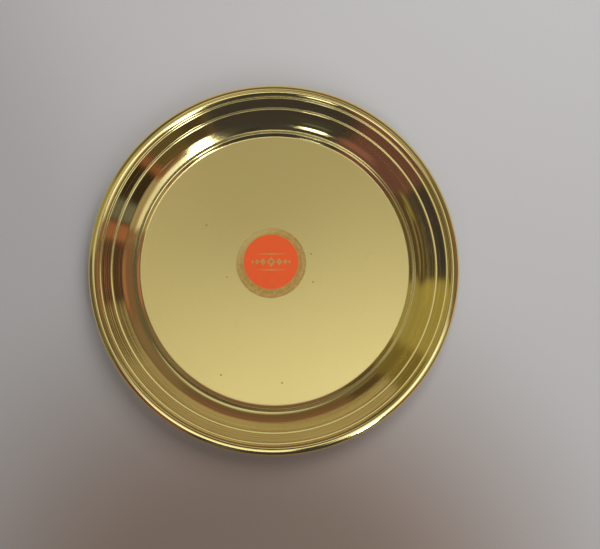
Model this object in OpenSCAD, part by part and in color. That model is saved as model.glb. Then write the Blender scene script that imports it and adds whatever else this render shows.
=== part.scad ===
// Paten plate: a small round plate spun from one brass sheet.
// Its rim is rolled round a wire, its flared wall climbs in two steps,
// and a round foil label lies on the flat satin floor.
// Millimetres, Z up. The origin is the middle of the underside, where the plate rests.

/* [Plate] */
// Diameter over the rolled rim
rim_d = 150; // [120:1:240]
// Height from the table to the top of the rim
plate_h = 12.4; // [11:0.1:30]
// Thickness of the brass sheet
sheet_t = 0.5; // [0.4:0.05:0.7]

/* [Riser round the floor] */
// Inside bend radius at the root of the riser
riser_root = 1.1; // [0.8:0.1:3]
// Slope of the riser
riser_slope = 42; // [35:1:55]
// Straight run of the riser
riser_l = 1; // [0.2:0.1:2]
// Inside bend radius at the edge of the riser
riser_edge = 0.1; // [0.1:0.05:1]
// Straight run of the land above the riser
land_l = 1.15; // [0.5:0.05:3]
// Slope of the land
land_slope = 12; // [4:1:18]

/* [Lower wall] */
// Inside bend radius of the crease between the land and the cove
crease_bend = 0.25; // [0.1:0.05:3]
// Slope at which the cove starts
cove_slope = 22; // [19:1:30]
// Inside bend radius of the cove
cove_bend = 11.75; // [8:0.25:14]
// Straight run of the wall above the cove
lower_l = 4; // [1:0.1:5]
// Slope of the wall below the lower step
lower_slope = 47; // [40:1:55]

/* [Steps] */
// Inside bend radius at the edge of a step
step_edge = 0.1; // [0.1:0.05:0.8]
// Inside bend radius at the root of a step
step_root = 0.25; // [0.1:0.05:0.8]
// Straight run of the lower step's tread
tread_l = 0.55; // [0.2:0.05:1]
// Slope of a step's tread
tread_slope = 8; // [2:1:15]
// Slope of the wall between the two steps
upper_slope = 47; // [42:1:60]

/* [Rolled rim] */
// Straight run of the upper step's tread
rim_tread_l = 0.4; // [0.2:0.05:1.5]
// Inside bend radius where the upper tread turns up to the bead
roll_root = 0.5; // [0.1:0.05:1.5]
// Slope at which the sheet starts round the wire
roll_slope = 55; // [45:1:65]
// How far the sheet is rolled round the wire
roll_turn = 320; // [220:1:330]
// Diameter of the wire inside the roll
wire_d = 4; // [3:0.1:4.5]
// Room between the wire and the sheet rolled round it
wire_room = 0.02; // [0.01:0.01:0.05]

/* [Label] */
// Diameter of the foil disc
foil_d = 29.4; // [20:0.1:60]
// Thickness of the foil disc
foil_t = 0.12; // [0.08:0.01:0.3]
// Diameter of the coloured face
face_d = 23.2; // [10:0.1:27]
// Thickness of the coloured face
face_t = 0.08; // [0.05:0.01:0.2]
// How far the label is stuck off the middle of the floor, along X
label_x = -1.4; // [-10:0.1:10]
// How far the label is stuck off the middle of the floor, along Y
label_y = 3.1; // [-10:0.1:10]
// How far the coloured face sits off the middle of the foil disc, along Y
face_slip = 0.5; // [-0.9:0.1:0.9]

/* [Hidden] */
$fn = 180;

// Largest turn between two points of a bend
bend_step = 5;

// Inside radius of the roll, and the radius of the finished bead
roll_bend = wire_d / 2 + wire_room;
bead_r = roll_bend + sheet_t;

// The bend table of the sheet, followed along its middle from the floor to the cut edge.
// Each row is a straight run, an inside bend radius and a turn, where a turn to the left climbs.
function bend_table(floor_l, upper_l) = [
  [floor_l, riser_root, riser_slope],
  [riser_l, riser_edge, land_slope - riser_slope],
  [land_l, crease_bend, cove_slope - land_slope],
  [0, cove_bend, lower_slope - cove_slope],
  [lower_l, step_edge, tread_slope - lower_slope],
  [tread_l, step_root, upper_slope - tread_slope],
  [upper_l, step_edge, tread_slope - upper_slope],
  [rim_tread_l, roll_root, roll_slope - tread_slope],
  [0, roll_bend, -roll_turn]
];

// A place on the middle of the sheet is [radius, height, slope]
function after_run(at, l) = [at[0] + l * cos(at[2]), at[1] + l * sin(at[2]), at[2]];

function after_bend(at, inside_r, turn) =
  let (side = sign(turn) * (inside_r + sheet_t / 2), slope = at[2] + turn)
  [at[0] + side * (sin(slope) - sin(at[2])), at[1] + side * (cos(at[2]) - cos(slope)), slope];

// The place reached after the first n rows of a bend table
function reached(table, n) =
  n == 0
    ? [0, sheet_t / 2, 0]
    : let (row = table[n - 1])
      after_bend(after_run(reached(table, n - 1), row[0]), row[1], row[2]);

// The middle of the wire, round which the last row of the table rolls the sheet
function wire_middle(table) =
  let (at = reached(table, len(table) - 1), r = roll_bend + sheet_t / 2)
  [at[0] + r * sin(at[2]), at[1] - r * cos(at[2])];

// The wall between the steps takes up the height that is left, and the floor the width
upper_l = (plate_h - bead_r - wire_middle(bend_table(0, 0))[1]) / sin(upper_slope);
floor_l = rim_d / 2 - bead_r - wire_middle(bend_table(0, upper_l))[0];
plate_bends = bend_table(floor_l, upper_l);
wire_at = wire_middle(plate_bends);

// All places that one row adds, with enough of them round its bend
function row_places(at, row) =
  let (n = ceil(abs(row[2]) / bend_step), first = row[0] > 0 ? 0 : 1)
  [for (i = [first : n]) after_bend(after_run(at, row[0]), row[1], row[2] * i / n)];

sheet_places = [
  reached(plate_bends, 0),
  for (k = [0 : len(plate_bends) - 1]) each row_places(reached(plate_bends, k), plate_bends[k])
];

// One face of the sheet, which lies off its middle by the distance given, upward when positive
function face_points(off) = [for (p = sheet_places) [p[0] - off * sin(p[2]), p[1] + off * cos(p[2])]];

function backwards(list) = [for (i = [len(list) - 1 : -1 : 0]) list[i]];

// The spun sheet: floor, riser, cove, two steps and the roll, all of one thickness
module dish() {
  color("darkkhaki")
    rotate_extrude()
      polygon(concat(face_points(-sheet_t / 2), backwards(face_points(sheet_t / 2))));
}

// The stiffening wire, closed into a ring inside the roll
module rim_wire() {
  color("slategray")
    rotate_extrude()
      translate(wire_at)
        circle(d = wire_d);
}

// The gold foil disc, stuck flat on the floor
module label_foil() {
  color("goldenrod")
    translate([label_x, label_y, sheet_t])
      cylinder(d = foil_d, h = foil_t);
}

// The coloured face of the label, lying on the foil disc
module label_face() {
  color("orangered")
    translate([label_x, label_y + face_slip, sheet_t + foil_t])
      cylinder(d = face_d, h = face_t);
}

dish();
rim_wire();
label_foil();
label_face();
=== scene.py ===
"""Paten plate: a dish spun from one brass sheet, its rim rolled round a wire, and a label on its floor.

Metres, Z up. The middle of the underside, where the plate rests, is the origin.
"""

from __future__ import annotations

import logging
import math
from dataclasses import dataclass, field
from typing import Iterable, Sequence, Union

import bmesh
import bpy
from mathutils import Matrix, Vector

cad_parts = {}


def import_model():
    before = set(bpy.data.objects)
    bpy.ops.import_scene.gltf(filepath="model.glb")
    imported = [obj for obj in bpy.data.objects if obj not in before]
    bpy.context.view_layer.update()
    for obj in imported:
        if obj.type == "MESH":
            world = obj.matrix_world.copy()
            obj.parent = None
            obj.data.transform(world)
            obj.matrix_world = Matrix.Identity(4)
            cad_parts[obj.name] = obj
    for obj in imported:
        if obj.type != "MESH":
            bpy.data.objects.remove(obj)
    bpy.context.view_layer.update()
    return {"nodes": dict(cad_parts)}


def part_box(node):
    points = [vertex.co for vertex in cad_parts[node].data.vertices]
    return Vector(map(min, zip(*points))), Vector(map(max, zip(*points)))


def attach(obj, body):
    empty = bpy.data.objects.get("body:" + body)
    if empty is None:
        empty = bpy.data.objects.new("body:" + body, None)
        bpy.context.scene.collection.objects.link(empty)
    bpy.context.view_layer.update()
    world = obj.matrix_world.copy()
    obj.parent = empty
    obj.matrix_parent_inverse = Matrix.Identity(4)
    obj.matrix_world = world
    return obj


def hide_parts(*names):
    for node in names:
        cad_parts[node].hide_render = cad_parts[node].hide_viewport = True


LOG = logging.getLogger("paten_plate")

MM = 0.001
ROOT_BODY = "root"

Colour = tuple[float, float, float]
Point = tuple[float, float, float]


# ---------------------------------------------------------------------------
# Shader maths
# ---------------------------------------------------------------------------


class Signal:
    """One value in a node tree, on which Python's operators add Math nodes."""

    def __init__(self, graph: "Graph", socket: bpy.types.NodeSocket) -> None:
        """Wraps a socket of a graph."""
        self.graph = graph
        self.socket = socket

    def _math(self, operation: str, *values: "Value") -> "Signal":
        """Adds one Math node.

        Args:
            operation: The Math node's operation.
            values: Its inputs, in order.

        Returns:
            The node's result.
        """
        return self.graph.node("ShaderNodeMath", {"operation": operation}, dict(enumerate(values)))

    def __add__(self, other: "Value") -> "Signal":
        """Sum."""
        return self._math("ADD", self, other)

    def __radd__(self, other: "Value") -> "Signal":
        """Sum, with the number first."""
        return self._math("ADD", other, self)

    def __sub__(self, other: "Value") -> "Signal":
        """Difference."""
        return self._math("SUBTRACT", self, other)

    def __rsub__(self, other: "Value") -> "Signal":
        """Difference, with the number first."""
        return self._math("SUBTRACT", other, self)

    def __mul__(self, other: "Value") -> "Signal":
        """Product."""
        return self._math("MULTIPLY", self, other)

    def __rmul__(self, other: "Value") -> "Signal":
        """Product, with the number first."""
        return self._math("MULTIPLY", other, self)

    def __truediv__(self, other: "Value") -> "Signal":
        """Quotient."""
        return self._math("DIVIDE", self, other)

    def __rtruediv__(self, other: "Value") -> "Signal":
        """Quotient, with the number first."""
        return self._math("DIVIDE", other, self)

    def __pow__(self, other: "Value") -> "Signal":
        """Power."""
        return self._math("POWER", self, other)

    def __mod__(self, other: "Value") -> "Signal":
        """Remainder, never negative."""
        return self._math("FLOORED_MODULO", self, other)

    def __abs__(self) -> "Signal":
        """Size without sign."""
        return self._math("ABSOLUTE", self)

    def least(self, other: "Value") -> "Signal":
        """The lesser of two values."""
        return self._math("MINIMUM", self, other)

    def most(self, other: "Value") -> "Signal":
        """The greater of two values."""
        return self._math("MAXIMUM", self, other)

    def sine(self) -> "Signal":
        """Sine of an angle in radians."""
        return self._math("SINE", self)

    def arccosine(self) -> "Signal":
        """Angle in radians whose cosine this is."""
        return self._math("ARCCOSINE", self)

    def root(self) -> "Signal":
        """Square root."""
        return self._math("SQRT", self)

    def angle_to(self, x: "Value") -> "Signal":
        """Angle in radians of the point (x, this)."""
        return self._math("ARCTAN2", self, x)

    def step_up(self, low: float, high: float) -> "Signal":
        """Smooth rise from 0 at low to 1 at high."""
        return self.graph.node(
            "ShaderNodeMapRange",
            {"interpolation_type": "SMOOTHSTEP", "clamp": True},
            {"Value": self, "From Min": low, "From Max": high, "To Min": 0.0, "To Max": 1.0},
        )

    def bump_at(self, middle: float, half: float, soft: float) -> "Signal":
        """A plateau of 1 within half of middle, which falls to 0 over soft."""
        return 1.0 - abs(self - middle).step_up(half, half + soft)


Value = Union[float, int, Signal]
Pair = tuple[Signal, Signal]
Input = Union[float, int, Sequence[float], Signal]


def reach(x: Signal, y: Signal) -> Signal:
    """Length of the line from the origin to the point (x, y)."""
    return (x * x + y * y).root()


class Graph:
    """A node tree that is filled by Python expressions."""

    def __init__(self, tree: bpy.types.NodeTree) -> None:
        """Empties the tree and starts it afresh."""
        self.tree = tree
        tree.nodes.clear()

    def node(
        self,
        kind: str,
        settings: dict | None = None,
        inputs: dict | None = None,
        out: int | str = 0,
    ) -> Signal:
        """Adds any node.

        Args:
            kind: The node's type.
            settings: Its settings, such as a Math node's operation, which are set first.
            inputs: Values or links for its sockets, by name or number.
            out: The output socket wanted, by name or number.

        Returns:
            That output.
        """
        made = self.tree.nodes.new(kind)
        for name, setting in (settings or {}).items():
            setattr(made, name, setting)
        for key, value in (inputs or {}).items():
            socket = made.inputs[key]
            if isinstance(value, Signal):
                self.tree.links.new(value.socket, socket)
            elif isinstance(value, (int, float)):
                socket.default_value = value
            else:
                wanted = len(socket.default_value)
                socket.default_value = (tuple(value) + (1.0,))[:wanted]
        return Signal(self, made.outputs[out])

    def finish(self, kind: str, surface: Signal) -> None:
        """Ends the tree in an output node."""
        end = self.tree.nodes.new(kind)
        self.tree.links.new(surface.socket, end.inputs["Surface"])

    def place(self, centre: Point = (0.0, 0.0, 0.0)) -> Signal:
        """Object coordinates, measured from a centre."""
        here = self.node("ShaderNodeTexCoord", out="Object")
        return self.node("ShaderNodeVectorMath", {"operation": "SUBTRACT"}, {0: here, 1: centre})

    def split(self, vector: Signal) -> tuple[Signal, Signal, Signal]:
        """Takes a vector apart.

        Args:
            vector: The vector.

        Returns:
            Its parts along X, Y and Z.
        """
        made = self.node("ShaderNodeSeparateXYZ", inputs={0: vector})
        outputs = made.socket.node.outputs
        return Signal(self, outputs[0]), Signal(self, outputs[1]), Signal(self, outputs[2])

    def join(self, x: Value, y: Value, z: Value) -> Signal:
        """A vector from three parts."""
        return self.node("ShaderNodeCombineXYZ", inputs={0: x, 1: y, 2: z})

    def noise(self, vector: Signal, scale: float, detail: float = 2.0, rough: float = 0.5) -> Signal:
        """Soft noise from 0 to 1 at a vector."""
        return self.node(
            "ShaderNodeTexNoise",
            {"noise_dimensions": "3D"},
            {"Vector": vector, "Scale": scale, "Detail": detail, "Roughness": rough},
        )

    def tool_lines(self, outward: Pair, wander: float, along: Signal, detail: float, rough: float) -> Signal:
        """Noise from 0 to 1 in lines that run round the axis.

        Args:
            outward: The X and Y parts of the direction from the axis.
            wander: How much the lines change on their way round.
            along: Place along the section, counted in lines.
            detail: The noise's detail.
            rough: The noise's roughness.

        Returns:
            The lines.
        """
        x, y = outward
        return self.noise(self.join(x * wander, y * wander, along), 1.0, detail, rough)

    def mix(self, factor: Value, low: Input, high: Input) -> Signal:
        """Blend of two colours."""
        return self.node(
            "ShaderNodeMix",
            {"data_type": "RGBA", "clamp_factor": True},
            {0: factor, 6: low, 7: high},
            out=2,
        )

    def tint(self, colour: Input, factor: Value) -> Signal:
        """A colour made brighter or darker by a factor."""
        return self.node("ShaderNodeVectorMath", {"operation": "SCALE"}, {0: colour, "Scale": factor})

    def bump(self, height: Signal, distance: float) -> Signal:
        """A surface normal that follows a height of 0 to 1, over a distance in metres."""
        return self.node("ShaderNodeBump", inputs={"Height": height, "Distance": distance})


@dataclass(frozen=True)
class Finish:
    """What every finish has: a name and a way to dress a material."""

    name: str

    def material(self) -> bpy.types.Material:
        """Makes the material.

        Returns:
            The new material.
        """
        made = bpy.data.materials.new(self.name)
        made.use_nodes = True
        graph = Graph(made.node_tree)
        self.surface(graph)
        return made

    def surface(self, graph: Graph) -> None:
        """Fills the material's node tree, in each finish's own way."""
        raise NotImplementedError

    @staticmethod
    def shade(graph: Graph, sockets: dict) -> None:
        """Ends a tree in one Principled surface.

        Args:
            graph: The material's graph.
            sockets: Values or links for the shader's sockets.
        """
        graph.finish("ShaderNodeOutputMaterial", graph.node("ShaderNodeBsdfPrincipled", inputs=sockets))


# ---------------------------------------------------------------------------
# Finishes
# ---------------------------------------------------------------------------


@dataclass(frozen=True)
class SpunBrass(Finish):
    """Brass off the spinning lathe: a satin floor, and a wall and rim polished over fine tool lines."""

    name: str = "spun_brass"
    colour: Colour = (0.93, 0.79, 0.33)
    tarnish: Colour = (0.70, 0.52, 0.17)
    pit_colour: Colour = (0.16, 0.10, 0.04)
    floor_edge: tuple[float, float] = (55.8 * MM, 56.3 * MM)
    top_from_z: tuple[float, float] = (0.25 * MM, 0.4 * MM)
    top_from_r: tuple[float, float] = (55.0 * MM, 56.0 * MM)
    floor_gloss: float = 0.36
    wall_gloss: float = 0.075
    under_gloss: float = 0.2
    lines_per_m: float = 1150.0
    fine_lines_per_m: float = 5200.0
    line_depth: float = 0.028 * MM
    streak: float = 0.32
    cloud_scale: float = 38.0
    grain_scale: float = 2600.0
    stain_scale: float = 75.0
    stain_centre: Point = (20.0 * MM, 10.0 * MM, 0.0)
    least_r: float = 0.1 * MM
    pits: tuple[Point, ...] = (
        (15.3 * MM, 6.9 * MM, 0.30 * MM),
        (-22.2 * MM, -43.5 * MM, 0.36 * MM),
        (3.2 * MM, -46.8 * MM, 0.38 * MM),
        (-28.4 * MM, 19.0 * MM, 0.26 * MM),
        (-19.8 * MM, -2.7 * MM, 0.26 * MM),
        (16.1 * MM, -4.8 * MM, 0.30 * MM),
        (6.7 * MM, 74.6 * MM, 0.45 * MM),
    )

    def surface(self, graph: Graph) -> None:
        """Fills the node tree from the distance to the axis and the height.

        Args:
            graph: The material's graph.
        """
        x, y, z = graph.split(graph.place())
        radius = reach(x, y)
        outward = (x / radius.most(self.least_r), y / radius.most(self.least_r))
        along = radius + z
        floor = 1.0 - radius.step_up(*self.floor_edge)
        upper = z.step_up(*self.top_from_z).most(radius.step_up(*self.top_from_r))

        rings = graph.tool_lines(outward, 0.35, along * self.lines_per_m, 2.0, 0.6)
        fine_rings = graph.tool_lines(outward, 0.8, along * self.fine_lines_per_m, 1.0, 0.5)
        cloud = graph.noise(graph.place(), self.cloud_scale, 3.0)
        grain = graph.noise(graph.place(), self.grain_scale, 2.0)
        stain = graph.noise(graph.place(self.stain_centre), self.stain_scale, 4.0, 0.65).step_up(0.62, 0.8)

        pitted: Value = 0.0
        for pit_x, pit_y, pit_r in self.pits:
            off = reach(x - pit_x, y - pit_y) + (grain - 0.5) * pit_r
            pitted = (1.0 - off.step_up(pit_r * 0.5, pit_r * 1.3)).most(pitted)

        warm = graph.mix(stain * 0.14 + cloud * 0.05, self.colour, self.tarnish)
        tone = 0.965 + fine_rings * 0.05 + (1.0 - floor) * (rings - 0.5) * self.streak
        colour = graph.mix(pitted * 0.8, graph.tint(warm, tone), self.pit_colour)
        gloss = floor * (self.floor_gloss + cloud * 0.03 + grain * 0.02)
        gloss = gloss + (1.0 - floor) * (self.wall_gloss + fine_rings * 0.04 + stain * 0.06)
        gloss = gloss * upper + (1.0 - upper) * self.under_gloss
        height = rings * (1.0 - floor) + fine_rings * 0.12 + grain * floor * 0.05
        self.shade(
            graph,
            {
                "Base Color": colour,
                "Metallic": 1.0,
                "Roughness": gloss,
                "Normal": graph.bump(height, self.line_depth),
            },
        )


@dataclass(frozen=True)
class WireSteel(Finish):
    """Drawn steel wire, grey and a little dull, with draw lines along it."""

    name: str = "wire_steel"
    colour: Colour = (0.42, 0.42, 0.41)
    oxide_colour: Colour = (0.20, 0.17, 0.15)
    lines_per_m: float = 9000.0
    line_depth: float = 0.004 * MM
    oxide_scale: float = 420.0

    def surface(self, graph: Graph) -> None:
        """Fills the node tree with lines round the ring and a mottled oxide.

        Args:
            graph: The material's graph.
        """
        x, y, z = graph.split(graph.place())
        radius = reach(x, y)
        along = radius + z * 0.7
        lines = graph.tool_lines((x / radius, y / radius), 0.6, along * self.lines_per_m, 2.0, 0.5)
        oxide = graph.noise(graph.place(), self.oxide_scale, 3.0).step_up(0.45, 0.75)
        self.shade(
            graph,
            {
                "Base Color": graph.mix(oxide * 0.5, self.colour, self.oxide_colour),
                "Metallic": 1.0,
                "Roughness": 0.34 + lines * 0.12 + oxide * 0.15,
                "Normal": graph.bump(lines, self.line_depth),
            },
        )


@dataclass(frozen=True)
class GoldFoil(Finish):
    """Thin gold foil on paper, creased and paler toward one side, with a border of small punched dots."""

    name: str = "gold_foil"
    centre: Point = (0.0, 0.0, 0.0)
    colour: Colour = (0.43, 0.262, 0.065)
    bright: Colour = (0.53, 0.36, 0.105)
    pale_side_colour: Colour = (0.56, 0.44, 0.15)
    dot_colour: Colour = (0.80, 0.66, 0.36)
    dots: int = 76
    border_r: float = 13.3 * MM
    border_half: float = 0.28 * MM
    border_soft: float = 0.12 * MM
    pale_side: tuple[float, float] = (5.0 * MM, 14.0 * MM)
    crease_scale: float = 620.0
    crease_depth: float = 0.02 * MM
    wear_scale: float = 210.0

    def surface(self, graph: Graph) -> None:
        """Fills the node tree from the place on the disc. It is paler toward -X and +Y.

        Args:
            graph: The material's graph.
        """
        here = graph.place(self.centre)
        x, y, _ = graph.split(here)
        crease = graph.noise(here, self.crease_scale, 4.0, 0.6)
        worn = graph.noise(here, self.wear_scale, 3.0)
        band = reach(x, y).bump_at(self.border_r, self.border_half, self.border_soft)
        beads = (y.angle_to(x) * float(self.dots)).sine().step_up(-0.1, 0.5)
        marks = band * beads * worn.step_up(0.3, 0.6)
        base = graph.mix(crease.step_up(0.35, 0.7), self.colour, self.bright)
        # the foil is paler toward -X and +Y
        pale_side = (y * 0.8 - x * 0.6).step_up(*self.pale_side)
        base = graph.mix(pale_side * 0.8, base, self.pale_side_colour)
        self.shade(
            graph,
            {
                "Base Color": graph.mix(marks * 0.3, base, self.dot_colour),
                "Metallic": 0.4,
                "Roughness": 0.45 + worn * 0.16,
                "Normal": graph.bump(crease + marks * 0.4, self.crease_depth),
            },
        )


@dataclass(frozen=True)
class OrangePrint(Finish):
    """Glossy orange ink on the label's face, with a plain gold flourish across the middle."""

    name: str = "orange_print"
    centre: Point = (0.0, 0.0, 0.0)
    ink: Colour = (0.76, 0.094, 0.012)
    gold: Colour = (0.60, 0.36, 0.11)
    face_r: float = 11.6 * MM
    edge_line: tuple[float, float] = (0.30 * MM, 0.16 * MM)
    blotch_scale: float = 260.0
    fibre_scale: float = 2400.0
    relief: float = 0.008 * MM
    lozenges: tuple[tuple[float, float], ...] = (
        (0.0, 2.0 * MM),
        (3.4 * MM, 1.5 * MM),
        (5.9 * MM, 1.05 * MM),
        (7.7 * MM, 0.65 * MM),
    )
    squeeze: float = 1.15
    hollow: float = 0.9 * MM
    rule_y: float = 3.3 * MM
    rule_half: float = 6.6 * MM
    rule_thick: float = 0.30 * MM
    soft: float = 0.10 * MM

    def surface(self, graph: Graph) -> None:
        """Fills the node tree with the ink, its thin edge line and the flourish.

        Args:
            graph: The material's graph.
        """
        here = graph.place(self.centre)
        x, y, _ = graph.split(here)
        blotch = graph.noise(here, self.blotch_scale, 3.0)
        fibre = graph.noise(here, self.fibre_scale, 2.0)
        ornament = self.flourish(graph, x, y)
        ink = graph.tint(self.ink, 0.93 + blotch * 0.14)
        colour = graph.mix(ornament, ink, graph.tint(self.gold, 0.85 + blotch * 0.3))
        edge_from, edge_to = self.edge_line
        edge = reach(x, y).step_up(self.face_r - edge_from, self.face_r - edge_to)
        colour = graph.mix(edge * 0.8, colour, self.gold)
        self.shade(
            graph,
            {
                "Base Color": colour,
                "Metallic": ornament.most(edge) * 0.6,
                "Roughness": 0.36 + fibre * 0.12 - ornament * 0.03,
                "Normal": graph.bump(fibre + ornament * 0.6, self.relief),
            },
        )

    def flourish(self, graph: Graph, x: Signal, y: Signal) -> Signal:
        """The gold ornament: lozenges that shrink outwards, between two thin tapering rules.

        Args:
            graph: The material's graph.
            x: Place across the face, in metres.
            y: Place up the face, in metres.

        Returns:
            1 on the ornament and 0 off it.
        """
        side = abs(x)
        marks: Value = 0.0
        for middle, half in self.lozenges:
            off = abs(side - middle) * self.squeeze + abs(y)
            marks = (1.0 - off.step_up(half, half + self.soft)).most(marks)
        hollow = 1.0 - (side * self.squeeze + abs(y)).step_up(self.hollow, self.hollow + self.soft)
        taper = (1.0 - (side / self.rule_half).least(1.0)) * self.rule_thick
        rules = 1.0 - (abs(abs(y) - self.rule_y) - taper).step_up(-0.5 * self.soft, 0.5 * self.soft)
        rules = rules * (1.0 - side.step_up(self.rule_half - 2 * self.soft, self.rule_half))
        return (marks - hollow * 0.9).most(0.0).most(rules)


@dataclass(frozen=True)
class TablePaint(Finish):
    """The matt table top: a pale backdrop, with a warm painted shadow in front of the plate and painted
    shade toward the lower left.
    """

    name: str = "table_paint"
    pale: Colour = (0.497, 0.492, 0.496)
    # painted shadow: its colour, its centre in front of the plate, and the span over which it fades to pale
    painted_shadow_colour: Colour = (0.254, 0.191, 0.155)
    shade_x: float = -9.0 * MM
    shade_y: float = -159.0 * MM
    shade_from: float = 56.0 * MM
    shade_to: float = 185.0 * MM
    # painted shade: how much darker the table is painted toward the lower left, and the span of that grade
    painted_side_shade: float = 0.18
    side_lean: float = 0.68
    side_from: float = -87.0 * MM
    side_to: float = 17.0 * MM
    tooth_scale: float = 900.0
    tooth_depth: float = 0.02 * MM
    cloud_scale: float = 9.0

    def surface(self, graph: Graph) -> None:
        """Fills the node tree with the painted shadow in front of the plate, the painted shade toward the
        lower left, a slow mottle and a fine tooth.

        Args:
            graph: The material's graph.
        """
        x, y, _ = graph.split(graph.place())
        away = reach(x - self.shade_x, y - self.shade_y)
        side = (x + y * self.side_lean).step_up(self.side_from, self.side_to)
        tooth = graph.noise(graph.place(), self.tooth_scale, 2.0)
        cloud = graph.noise(graph.place(), self.cloud_scale, 2.0)
        # painted shadow round a point in front of the plate, fading out to the pale backdrop
        base = graph.mix(away.step_up(self.shade_from, self.shade_to), self.painted_shadow_colour, self.pale)
        # painted shade toward the lower left, with a random mottle and a fine tooth
        tone = 0.965 - self.painted_side_shade + side * self.painted_side_shade + tooth * 0.03 + cloud * 0.04
        self.shade(
            graph,
            {
                "Base Color": graph.tint(base, tone),
                "Roughness": 0.75,
                "Normal": graph.bump(tooth, self.tooth_depth),
            },
        )


@dataclass(frozen=True)
class CardPaint(Finish):
    """Black card with a faint fibre."""

    name: str = "card_paint"
    colour: Colour = (0.05, 0.045, 0.045)
    fibre_scale: float = 700.0

    def surface(self, graph: Graph) -> None:
        """Fills the node tree with the fibre."""
        fibre = graph.noise(graph.place(), self.fibre_scale, 2.0)
        self.shade(graph, {"Base Color": graph.tint(self.colour, 0.8 + fibre * 0.4), "Roughness": 0.8})


# ---------------------------------------------------------------------------
# Bench tools
# ---------------------------------------------------------------------------


class Bench:
    """Modelling moves that more than one piece needs."""

    @staticmethod
    def clear_selection() -> None:
        """Deselects everything, the loaded frame included."""
        if bpy.context.object and bpy.context.object.mode != "OBJECT":
            bpy.ops.object.mode_set(mode="OBJECT")
        bpy.ops.object.select_all(action="DESELECT")

    @staticmethod
    def name_new(name: str) -> bpy.types.Object:
        """Names the object just added, and its mesh.

        Args:
            name: The name.

        Returns:
            The object.
        """
        made = bpy.context.object
        made.name = name
        made.data.name = name
        return made

    @staticmethod
    def settle(obj: bpy.types.Object, smooth_deg: float) -> bpy.types.Object:
        """Moves the object's place into its mesh and shades it smooth below an angle.

        Args:
            obj: The finished piece.
            smooth_deg: Edges sharper than this stay sharp, in degrees.

        Returns:
            The same piece.
        """
        Bench.clear_selection()
        obj.select_set(True)
        bpy.context.view_layer.objects.active = obj
        bpy.ops.object.transform_apply(location=True, rotation=True, scale=True)
        bpy.ops.object.shade_smooth_by_angle(angle=math.radians(smooth_deg))
        return obj


# ---------------------------------------------------------------------------
# Sub-assemblies
# ---------------------------------------------------------------------------


@dataclass(frozen=True)
class Bend:
    """One row of the bend table: a straight run, then a bend by its inside radius.

    A positive turn climbs.
    """

    run: float
    inside: float
    turn: float


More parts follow.
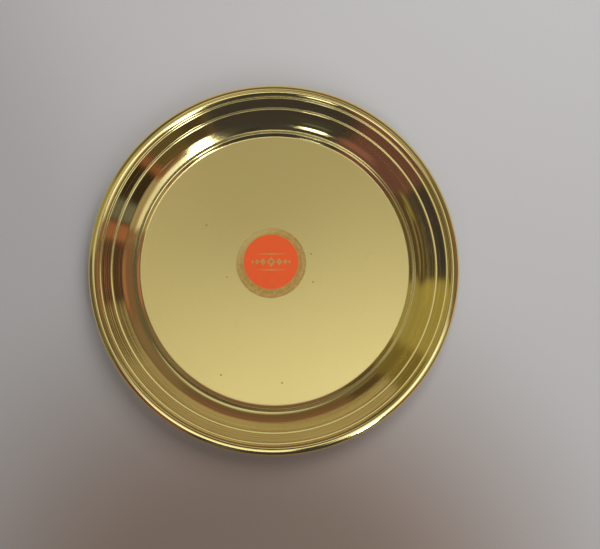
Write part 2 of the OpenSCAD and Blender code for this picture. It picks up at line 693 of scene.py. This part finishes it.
@dataclass
class SpunDish:
    """The brass sheet: floor, riser, cove, two steps and the roll round the wire."""

    sheet: float = 0.5 * MM
    riser_root: float = 1.1 * MM
    riser_slope: float = 42.0
    riser_run: float = 1.0 * MM
    riser_edge: float = 0.1 * MM
    land_run: float = 1.15 * MM
    land_slope: float = 12.0
    crease: float = 0.25 * MM
    cove_slope: float = 22.0
    cove: float = 11.75 * MM
    wall_slope: float = 47.0
    lower_run: float = 4.0 * MM
    step_edge: float = 0.1 * MM
    step_root: float = 0.25 * MM
    tread_run: float = 0.55 * MM
    tread_slope: float = 8.0
    rim_run: float = 0.4 * MM
    roll_root: float = 0.5 * MM
    roll_slope: float = 55.0
    roll_turn: float = 320.0
    wire_room: float = 0.02 * MM
    turns: int = 240
    bend_step: float = 4.5
    hold: float = 0.1 * MM
    weld: float = 0.002 * MM
    smooth_deg: float = 50.0
    finish: SpunBrass = field(default_factory=SpunBrass)

    @property
    def roll(self) -> float:
        """Inside radius of the roll, which goes round the wire with a little room."""
        low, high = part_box("rim_wire")
        return (high.z - low.z) / 2 + self.wire_room

    def table(self, floor_run: float, upper_run: float) -> list[Bend]:
        """The bend table, from the floor's middle to the cut edge.

        Args:
            floor_run: The floor's straight run.
            upper_run: The straight run of the wall between the two steps.

        Returns:
            The table's rows.
        """
        fall = self.tread_slope - self.wall_slope
        return [
            Bend(floor_run, self.riser_root, self.riser_slope),
            Bend(self.riser_run, self.riser_edge, self.land_slope - self.riser_slope),
            Bend(self.land_run, self.crease, self.cove_slope - self.land_slope),
            Bend(0.0, self.cove, self.wall_slope - self.cove_slope),
            Bend(self.lower_run, self.step_edge, fall),
            Bend(self.tread_run, self.step_root, -fall),
            Bend(upper_run, self.step_edge, fall),
            Bend(self.rim_run, self.roll_root, self.roll_slope - self.tread_slope),
            Bend(0.0, self.roll, -self.roll_turn),
        ]

    def side(self, row: Bend) -> float:
        """Radius of a row's bend to the middle of the sheet, with the sign of its turn."""
        return math.copysign(row.inside + self.sheet / 2, row.turn)

    def follow(self, rows: Iterable[Bend]) -> tuple[float, float, float]:
        """Follows rows of a bend table.

        Args:
            rows: The rows, from the floor's middle outwards.

        Returns:
            Radius, height and slope in degrees where they end.
        """
        radius, height, slope = 0.0, self.sheet / 2, 0.0
        for row in rows:
            start, end = math.radians(slope), math.radians(slope + row.turn)
            side = self.side(row)
            radius += row.run * math.cos(start) + side * (math.sin(end) - math.sin(start))
            height += row.run * math.sin(start) + side * (math.cos(start) - math.cos(end))
            slope += row.turn
        return radius, height, slope

    def wire_middle(self, rows: Sequence[Bend]) -> tuple[float, float]:
        """Where a bend table puts the wire.

        Args:
            rows: The whole table, whose last row is the roll.

        Returns:
            Radius and height of the wire's middle.
        """
        radius, height, slope = self.follow(rows[:-1])
        turn = math.radians(slope)
        roll = self.roll + self.sheet / 2
        return radius + roll * math.sin(turn), height - roll * math.cos(turn)

    def fitted_table(self) -> list[Bend]:
        """Sizes the upper wall and the floor to the CAD dish's box.

        Returns:
            The bend table that closes on the box's height and width.
        """
        low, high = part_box("dish")
        bead = self.roll + self.sheet
        height_left = high.z - bead - self.wire_middle(self.table(0.0, 0.0))[1]
        upper_run = height_left / math.sin(math.radians(self.wall_slope))
        floor_run = (high.x - low.x) / 2 - bead - self.wire_middle(self.table(0.0, upper_run))[0]
        return self.table(floor_run, upper_run)

    def build(self) -> bpy.types.Object:
        """Draws the sheet's middle line bend by bend, spins it round the axis and thickens it.

        Returns:
            The finished dish.
        """
        Bench.clear_selection()
        bpy.ops.mesh.primitive_plane_add(size=self.sheet, location=(0.0, 0.0, self.sheet / 2))
        dish = Bench.name_new("brass_dish")
        bpy.ops.object.transform_apply(location=True, rotation=True, scale=True)
        bpy.ops.object.mode_set(mode="EDIT")
        bpy.ops.mesh.select_all(action="SELECT")
        bpy.ops.mesh.merge(type="CENTER")
        rows = self.fitted_table()
        for number, row in enumerate(rows):
            self.draw_run(row, self.follow(rows[:number]))
            self.draw_bend(row, self.follow(rows[:number] + [Bend(row.run, 0.0, 0.0)]))
        bpy.ops.mesh.select_all(action="SELECT")
        bpy.ops.mesh.spin(steps=self.turns, angle=math.tau, center=(0.0, 0.0, 0.0), axis=(0.0, 0.0, 1.0))
        bpy.ops.mesh.select_all(action="SELECT")
        bpy.ops.mesh.remove_doubles(threshold=self.weld)
        bpy.ops.mesh.normals_make_consistent(inside=False)
        bpy.ops.object.mode_set(mode="OBJECT")
        skin = dish.modifiers.new("sheet", "SOLIDIFY")
        skin.thickness = self.sheet
        skin.offset = 0.0
        skin.use_even_offset = True
        bpy.ops.object.modifier_apply(modifier=skin.name)
        Bench.settle(dish, self.smooth_deg)
        dish.data.materials.append(self.finish.material())
        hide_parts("dish")
        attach(dish, ROOT_BODY)
        return dish

    def draw_run(self, row: Bend, start: tuple[float, float, float]) -> None:
        """Extrudes the end of the line straight on, with a holding point near each end.

        Args:
            row: The row whose run is drawn.
            start: Radius, height and slope where it starts.
        """
        if row.run <= 0.0:
            return
        slope = math.radians(start[2])
        hold = min(self.hold, row.run / 4)
        for length in (hold, row.run - 2 * hold, hold):
            move = (length * math.cos(slope), 0.0, length * math.sin(slope))
            bpy.ops.mesh.extrude_region_move(TRANSFORM_OT_translate={"value": move})

    def draw_bend(self, row: Bend, start: tuple[float, float, float]) -> None:
        """Spins the end of the line round the middle of its bend.

        Args:
            row: The row whose bend is drawn.
            start: Radius, height and slope where the bend starts.
        """
        radius, height, slope = start
        side = self.side(row)
        turn = math.radians(slope)
        middle = (radius - side * math.sin(turn), 0.0, height + side * math.cos(turn))
        steps = max(2, math.ceil(abs(row.turn) / self.bend_step))
        bpy.ops.mesh.spin(steps=steps, angle=math.radians(row.turn), center=middle, axis=(0.0, 1.0, 0.0))


@dataclass
class RimWire:
    """The steel wire inside the roll, which the CAD node shows as it is."""

    finish: WireSteel = field(default_factory=WireSteel)

    def dress(self, node: bpy.types.Object) -> bpy.types.Object:
        """Gives the CAD wire its finish.

        Args:
            node: The CAD node's object.

        Returns:
            The same object.
        """
        node.data.materials.clear()
        node.data.materials.append(self.finish.material())
        return node


@dataclass
class RoundLabel:
    """The round label: a foil disc pressed on the floor, and the orange face on it."""

    sides: int = 192
    rings: int = 10
    smooth_deg: float = 40.0
    worn_from: float = 0.9
    torn_deg: float = 128.0
    edge_wear: float = 0.004
    torn_wear: float = 0.022
    torn_jag: float = 0.014
    flat: float = 0.9

    def build_foil(self) -> bpy.types.Object:
        """Models the foil disc, with a worn, nicked edge.

        Returns:
            The finished foil disc.
        """
        low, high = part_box("label_foil")
        middle = (low + high) / 2
        foil = self.disc("foil_disc", low, high)
        self.nick_edge(foil, middle, (high.x - low.x) / 2)
        foil.data.materials.append(GoldFoil(centre=tuple(middle)).material())
        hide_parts("label_foil")
        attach(foil, ROOT_BODY)
        return foil

    def build_face(self) -> bpy.types.Object:
        """Models the orange face.

        Returns:
            The finished face.
        """
        low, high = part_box("label_face")
        face = self.disc("orange_face", low, high)
        print_finish = OrangePrint(centre=tuple((low + high) / 2), face_r=(high.x - low.x) / 2)
        face.data.materials.append(print_finish.material())
        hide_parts("label_face")
        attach(face, ROOT_BODY)
        return face

    def disc(self, name: str, low: Vector, high: Vector) -> bpy.types.Object:
        """Models a thin disc with rings of points on both its faces.

        Args:
            name: The piece's name.
            low: The lowest corner of its box.
            high: The highest corner of its box.

        Returns:
            The disc.
        """
        radius = (high.x - low.x) / 2
        middle = (low + high) / 2
        Bench.clear_selection()
        bpy.ops.mesh.primitive_cylinder_add(
            vertices=self.sides, radius=radius, depth=high.z - low.z, end_fill_type="NGON", location=middle
        )
        disc = Bench.name_new(name)
        bpy.ops.object.mode_set(mode="EDIT")
        bpy.ops.mesh.select_mode(type="FACE")
        for facing in (1.0, -1.0):
            mesh = bmesh.from_edit_mesh(disc.data)
            for face in mesh.faces:
                face.select_set(face.normal.z * facing > self.flat and len(face.verts) > 4)
            bmesh.update_edit_mesh(disc.data)
            for _ in range(self.rings):
                bpy.ops.mesh.inset(thickness=radius / (self.rings + 1))
            bpy.ops.mesh.poke()
        bpy.ops.mesh.select_mode(type="VERT")
        bpy.ops.object.mode_set(mode="OBJECT")
        return Bench.settle(disc, self.smooth_deg)

    def nick_edge(self, disc: bpy.types.Object, middle: Vector, radius: float) -> None:
        """Wears the edge of the foil back by small shares of its radius, most round one torn place.

        Args:
            disc: The foil disc.
            middle: Its middle.
            radius: Its radius.
        """
        for vert in disc.data.vertices:
            out = Vector((vert.co.x - middle.x, vert.co.y - middle.y, 0.0))
            if out.length < radius * self.worn_from:
                continue
            turn = math.atan2(out.y, out.x)
            torn = max(0.0, math.cos(turn - math.radians(self.torn_deg))) ** 6
            ragged = 0.5 + 0.5 * math.sin(turn * 23.0 + 2.0 * math.sin(turn * 7.0))
            back = self.edge_wear * (1.0 + ragged) + torn * (self.torn_wear + self.torn_jag * ragged)
            scale = 1.0 - back * (out.length / radius - self.worn_from) / (1.0 - self.worn_from)
            vert.co.x = middle.x + out.x * scale
            vert.co.y = middle.y + out.y * scale


# ---------------------------------------------------------------------------
# Studio
# ---------------------------------------------------------------------------


@dataclass(frozen=True)
class Patch:
    """A soft-edged patch of the surroundings, placed by turn and by angle from straight up, in degrees.

    Its soft edges are as wide as soft and soft_turn say, and its two ends lie higher by the arch.
    """

    turn: float
    half_turn: float
    tilt_low: float
    tilt_high: float
    colour: Colour
    soft: float = 3.0
    soft_turn: float = 4.0
    arch: float = 0.0


@dataclass(frozen=True)
class Card:
    """A level black card over the plate, placed from the lens, in metres."""

    name: str
    place: Point
    width: float
    depth: float


@dataclass(frozen=True)
class Panel:
    """A light panel that faces the plate, placed by turn and by angle from straight up, in degrees."""

    name: str
    turn: float
    tilt: float
    distance: float
    width: float
    height: float
    radiance: float
    colour: Colour
    mirrored: bool


@dataclass
class Studio:
    """The table, the camera, the lights and the plain surroundings that the brass mirrors."""

    camera_x: float = 13.5 * MM
    camera_y: float = -9.0 * MM
    camera_h: float = 300.0 * MM
    view_w: float = 242.6 * MM
    sensor_w: float = 36.0
    nearest: float = 10.0 * MM
    plate_left: float = 10.75 * MM
    plate_up: float = 1.9 * MM
    table_size: float = 24.0
    table_drop: float = 0.02 * MM
    smooth_deg: float = 30.0
    cards: tuple[Card, ...] = (
        Card("lens_card", (-22.5 * MM, 2.0 * MM, 0.0), 34.0 * MM, 38.0 * MM),
        Card("hand_card", (-38.5 * MM, 60.0 * MM, 0.0), 79.0 * MM, 37.0 * MM),
        Card("thumb_card", (-76.0 * MM, 32.0 * MM, 0.0), 30.0 * MM, 26.0 * MM),
        Card("front_card", (16.5 * MM, -176.0 * MM, -6.0 * MM), 44.0 * MM, 110.0 * MM),
        Card("side_card", (-91.5 * MM, -209.0 * MM, -156.0 * MM), 60.0 * MM, 70.0 * MM),
    )
    panels: tuple[Panel, ...] = (
        Panel("window_right", 299.0, 47.0, 1.2, 0.140, 0.74, 9.0, (0.95, 0.98, 1.0), True),
        Panel("window_left", 250.5, 49.0, 1.2, 0.150, 0.13, 6.0, (0.95, 0.98, 1.0), True),
        Panel("key_far_right", 60.0, 37.0, 0.55, 0.32, 0.32, 5.6, (0.97, 1.0, 1.02), False),
    )
    backdrop: Colour = (0.62, 0.60, 0.58)
    drift: float = 4.0
    waver: float = 9.0
    ragged: float = 5.0
    drift_scale: float = 3.0
    ragged_scale: float = 26.0
    overhead: Colour = (0.25, 0.234, 0.190)
    low_room: Colour = (0.15, 0.11, 0.085)
    room_tilt: tuple[float, float] = (30.0, 60.0)
    patches: tuple[Patch, ...] = (
        # overhead: the ceiling, brightest toward the windows
        Patch(262.0, 92.0, -10.0, 33.0, (0.91, 0.91, 0.87), 7.0, 80.0),
        Patch(226.0, 28.0, 12.0, 32.0, (1.42, 1.38, 1.30), 6.0, 14.0),
        Patch(314.0, 26.0, 12.0, 32.0, (1.52, 1.57, 1.60), 6.0, 16.0),
        Patch(95.0, 88.0, -10.0, 11.0, (0.66, 0.62, 0.51), 6.0, 40.0),
        Patch(42.0, 52.0, 10.0, 40.0, (0.12, 0.108, 0.088), 8.0, 30.0),
        Patch(271.0, 24.0, 13.0, 27.0, (1.30, 1.26, 1.20), 5.0, 10.0),
        Patch(84.0, 46.0, 31.0, 42.5, (0.70, 0.65, 0.62), 5.0, 12.0, 9.0),
        # the back wall: brown, redder low down, over a pale worktop
        Patch(75.0, 64.0, 44.0, 70.0, (0.138, 0.098, 0.072), 2.0, 8.0, 9.0),
        Patch(88.0, 32.0, 60.0, 79.0, (0.195, 0.098, 0.082), 12.0, 24.0),
        Patch(34.0, 20.0, 42.0, 79.0, (0.20, 0.140, 0.110), 5.0, 14.0),
        Patch(6.0, 17.0, 34.0, 79.0, (0.19, 0.110, 0.085), 5.0, 9.0),
        Patch(6.0, 11.0, 63.0, 78.0, (0.36, 0.165, 0.140), 7.0, 9.0),
        Patch(24.0, 13.0, 76.5, 79.9, (0.035, 0.026, 0.020), 1.0, 6.0),
        Patch(75.0, 62.0, 79.4, 100.0, (0.36, 0.30, 0.215), 1.0, 8.0, -0.8),
        Patch(2.0, 12.0, 77.0, 100.0, (0.050, 0.034, 0.032), 2.0, 6.0),
        # toward the left: near black, then a dark and a bright olive door
        Patch(130.0, 7.5, 42.0, 79.0, (0.085, 0.060, 0.042), 4.0, 4.0),
        Patch(130.0, 7.0, 44.0, 47.5, (0.24, 0.20, 0.15), 2.0, 5.0),
        Patch(143.5, 7.0, 33.0, 100.0, (0.165, 0.130, 0.055), 4.0, 3.0),
        Patch(162.0, 12.0, 34.0, 100.0, (0.31, 0.265, 0.115), 5.0, 4.0),
        Patch(152.0, 12.0, 12.0, 33.0, (0.47, 0.43, 0.34), 6.0, 8.0),
        # at the left: a dark shelf with pale bars
        Patch(191.5, 17.0, 32.0, 100.0, (0.080, 0.057, 0.037), 4.0, 4.0),
        Patch(190.0, 13.0, 50.0, 55.5, (0.29, 0.245, 0.175), 2.5, 5.0),
        Patch(202.0, 6.0, 60.0, 73.0, (0.24, 0.205, 0.10), 3.0, 4.0),
        Patch(186.0, 10.0, 68.0, 73.5, (0.26, 0.22, 0.165), 3.0, 5.0),
        Patch(192.0, 17.0, 79.5, 100.0, (0.040, 0.037, 0.060), 1.5, 5.0),
        Patch(195.0, 20.0, 8.0, 31.0, (0.26, 0.215, 0.17), 8.0, 14.0),
        # in front: dark red cloth, then near black under the windows
        Patch(225.0, 17.0, 33.0, 100.0, (0.135, 0.062, 0.080), 4.0, 4.0),
        Patch(231.0, 7.0, 46.0, 72.0, (0.23, 0.105, 0.125), 5.0, 7.0),
        Patch(266.0, 26.0, 28.0, 100.0, (0.045, 0.042, 0.060), 3.0, 4.0),
        Patch(264.0, 28.0, 79.5, 100.0, (0.045, 0.040, 0.055), 2.0, 4.0),
        Patch(251.0, 5.5, 58.0, 73.0, (0.13, 0.14, 0.15), 2.5, 3.0),
        # at the right: a bright wall by the window, over red cloth and pale bars
        Patch(314.0, 10.0, 30.0, 48.0, (0.95, 0.96, 1.10), 3.0, 5.0),
        Patch(334.0, 13.0, 30.0, 47.0, (0.78, 0.73, 0.70), 4.0, 9.0),
        Patch(328.0, 22.0, 49.0, 73.0, (0.27, 0.20, 0.155), 4.0, 7.0),
        Patch(313.0, 7.5, 57.0, 74.0, (0.17, 0.080, 0.062), 4.0, 4.0),
        Patch(335.0, 14.0, 52.5, 56.0, (0.50, 0.45, 0.37), 2.0, 5.0),
        Patch(335.0, 14.0, 61.5, 64.5, (0.46, 0.41, 0.33), 2.0, 5.0),
        Patch(330.0, 17.0, 69.0, 72.0, (0.42, 0.36, 0.29), 2.0, 5.0),
        Patch(322.0, 29.0, 74.5, 100.0, (0.062, 0.044, 0.037), 2.0, 6.0),
        Patch(310.0, 8.0, 76.0, 100.0, (0.105, 0.080, 0.050), 2.0, 5.0),
        Patch(335.0, 15.0, 75.5, 100.0, (0.026, 0.018, 0.017), 2.0, 4.0),
        Patch(319.5, 1.6, 50.0, 100.0, (0.25, 0.10, 0.07), 3.0, 1.6),
        Patch(339.0, 3.6, 77.0, 100.0, (0.16, 0.17, 0.185), 2.0, 2.0),
        Patch(347.5, 3.2, 76.5, 100.0, (0.36, 0.135, 0.10), 2.0, 1.6),
        Patch(347.0, 2.2, 31.0, 79.0, (0.22, 0.115, 0.09), 3.0, 1.6),
    )

    def build(self) -> None:
        """Makes the table, camera, lights and surroundings."""
        self.table()
        lens = self.camera().location.copy()
        for card in self.cards:
            self.hang_card(card, lens)
        for panel in self.panels:
            self.hang_panel(panel)
        self.surroundings()
        bpy.context.scene.view_settings.view_transform = "Standard"

    def table(self) -> bpy.types.Object:
        """Makes the pale table top.

        Returns:
            The table top.
        """
        Bench.clear_selection()
        bpy.ops.mesh.primitive_plane_add(size=self.table_size, location=(0.0, 0.0, -self.table_drop))
        top = Bench.name_new("table_top")
        Bench.settle(top, self.smooth_deg)
        top.data.materials.append(TablePaint().material())
        return top

    def camera(self) -> bpy.types.Object:
        """Makes the camera, which looks down at the plate from a little beside its axis.

        Returns:
            The camera.
        """
        low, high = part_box("rim_wire")
        rim = (low.z + high.z) / 2
        way = Vector((self.plate_left - self.camera_x, -self.plate_up - self.camera_y, -self.camera_h))
        bpy.ops.object.camera_add(
            location=(self.camera_x, self.camera_y, rim + self.camera_h),
            rotation=(math.atan2(way.y, self.camera_h), -math.atan2(way.x, self.camera_h), 0.0),
        )
        made = bpy.context.object
        made.data.sensor_width = self.sensor_w
        made.data.lens = self.sensor_w * self.camera_h / self.view_w
        made.data.clip_start = self.nearest
        bpy.context.scene.camera = made
        return made

    def hang_card(self, card: Card, lens: Vector) -> bpy.types.Object:
        """Makes one of the black cards that only the brass mirrors.

        Args:
            card: The card's name, place and size.
            lens: Where the camera is.

        Returns:
            The card.
        """
        Bench.clear_selection()
        place = tuple(lens + Vector(card.place))
        bpy.ops.mesh.primitive_plane_add(size=1.0, location=place)
        made = Bench.name_new(card.name)
        bpy.ops.transform.resize(value=(card.width, card.depth, 1.0), center_override=place)
        Bench.settle(made, self.smooth_deg)
        made.data.materials.append(CardPaint().material())
        made.visible_camera = False
        made.visible_diffuse = False
        made.visible_shadow = False
        return made

    @staticmethod
    def hang_panel(panel: Panel) -> bpy.types.Object:
        """Makes one light: a window that the brass mirrors, or a soft light that only matt things show.

        Args:
            panel: The light's name, place, size and look.

        Returns:
            The light.
        """
        turn, tilt = math.radians(panel.turn), math.radians(panel.tilt)
        way = Vector((math.sin(tilt) * math.cos(turn), math.sin(tilt) * math.sin(turn), math.cos(tilt)))
        bpy.ops.object.light_add(type="AREA", location=way * panel.distance)
        made = bpy.context.object
        made.name = panel.name
        made.rotation_euler = way.to_track_quat("Z", "Y").to_euler()
        made.data.shape = "RECTANGLE"
        made.data.size = panel.width
        made.data.size_y = panel.height
        made.data.energy = panel.radiance * math.pi * panel.width * panel.height
        made.data.color = panel.colour
        made.visible_glossy = panel.mirrored
        made.visible_camera = False
        return made

    def surroundings(self) -> None:
        """Paints the surroundings: a pale backdrop for the eye, and soft patches for the brass."""
        world = bpy.data.worlds.new("studio")
        world.use_nodes = True
        bpy.context.scene.world = world
        graph = Graph(world.node_tree)
        way = graph.node("ShaderNodeTexCoord", out="Generated")
        x, y, z = graph.split(way)
        drift = graph.noise(way, self.drift_scale, 2.0) - 0.5
        waver = graph.noise(graph.join(y, z, x), self.drift_scale, 2.0) - 0.5
        ragged = graph.noise(way, self.ragged_scale, 2.0) - 0.5
        tilt = z.least(1.0).most(-1.0).arccosine() * math.degrees(1.0) + drift * self.drift
        turn = y.angle_to(x) * math.degrees(1.0) + waver * self.waver + ragged * self.ragged
        colour = graph.mix(tilt.step_up(*self.room_tilt), self.overhead, self.low_room)
        for patch in self.patches:
            colour = graph.mix(self.mask(patch, tilt, turn), colour, patch.colour)
        seen = graph.node("ShaderNodeLightPath", out="Is Camera Ray")
        colour = graph.mix(seen, colour, self.backdrop)
        glow = graph.node("ShaderNodeBackground", inputs={"Color": colour, "Strength": 1.0})
        graph.finish("ShaderNodeOutputWorld", glow)

    @staticmethod
    def mask(patch: Patch, tilt: Signal, turn: Signal) -> Signal:
        """Where a patch is seen.

        Args:
            patch: The patch.
            tilt: Angle from straight up, in degrees.
            turn: Angle round the plate, in degrees.

        Returns:
            1 inside the patch and 0 outside it.
        """
        away = abs((turn - (patch.turn - 180.0)) % 360.0 - 180.0)
        soft = patch.soft_turn / 2
        across = 1.0 - away.step_up(patch.half_turn - soft, patch.half_turn + soft)
        if patch.arch:
            tilt = tilt + (away / patch.half_turn) ** 2.0 * patch.arch
        middle = (patch.tilt_low + patch.tilt_high) / 2
        half = (patch.tilt_high - patch.tilt_low) / 2
        return across * tilt.bump_at(middle, half - patch.soft / 2, patch.soft)


def main() -> None:
    """Builds the plate and its studio."""
    logging.basicConfig(level=logging.INFO, format="%(name)s: %(message)s")
    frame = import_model()
    label = RoundLabel()
    pieces = [
        SpunDish().build(),
        RimWire().dress(frame["nodes"]["rim_wire"]),
        label.build_foil(),
        label.build_face(),
    ]
    for piece in pieces:
        LOG.info("%s: %d faces", piece.name, len(piece.data.polygons))
    Studio().build()


if __name__ == "__main__":
    main()
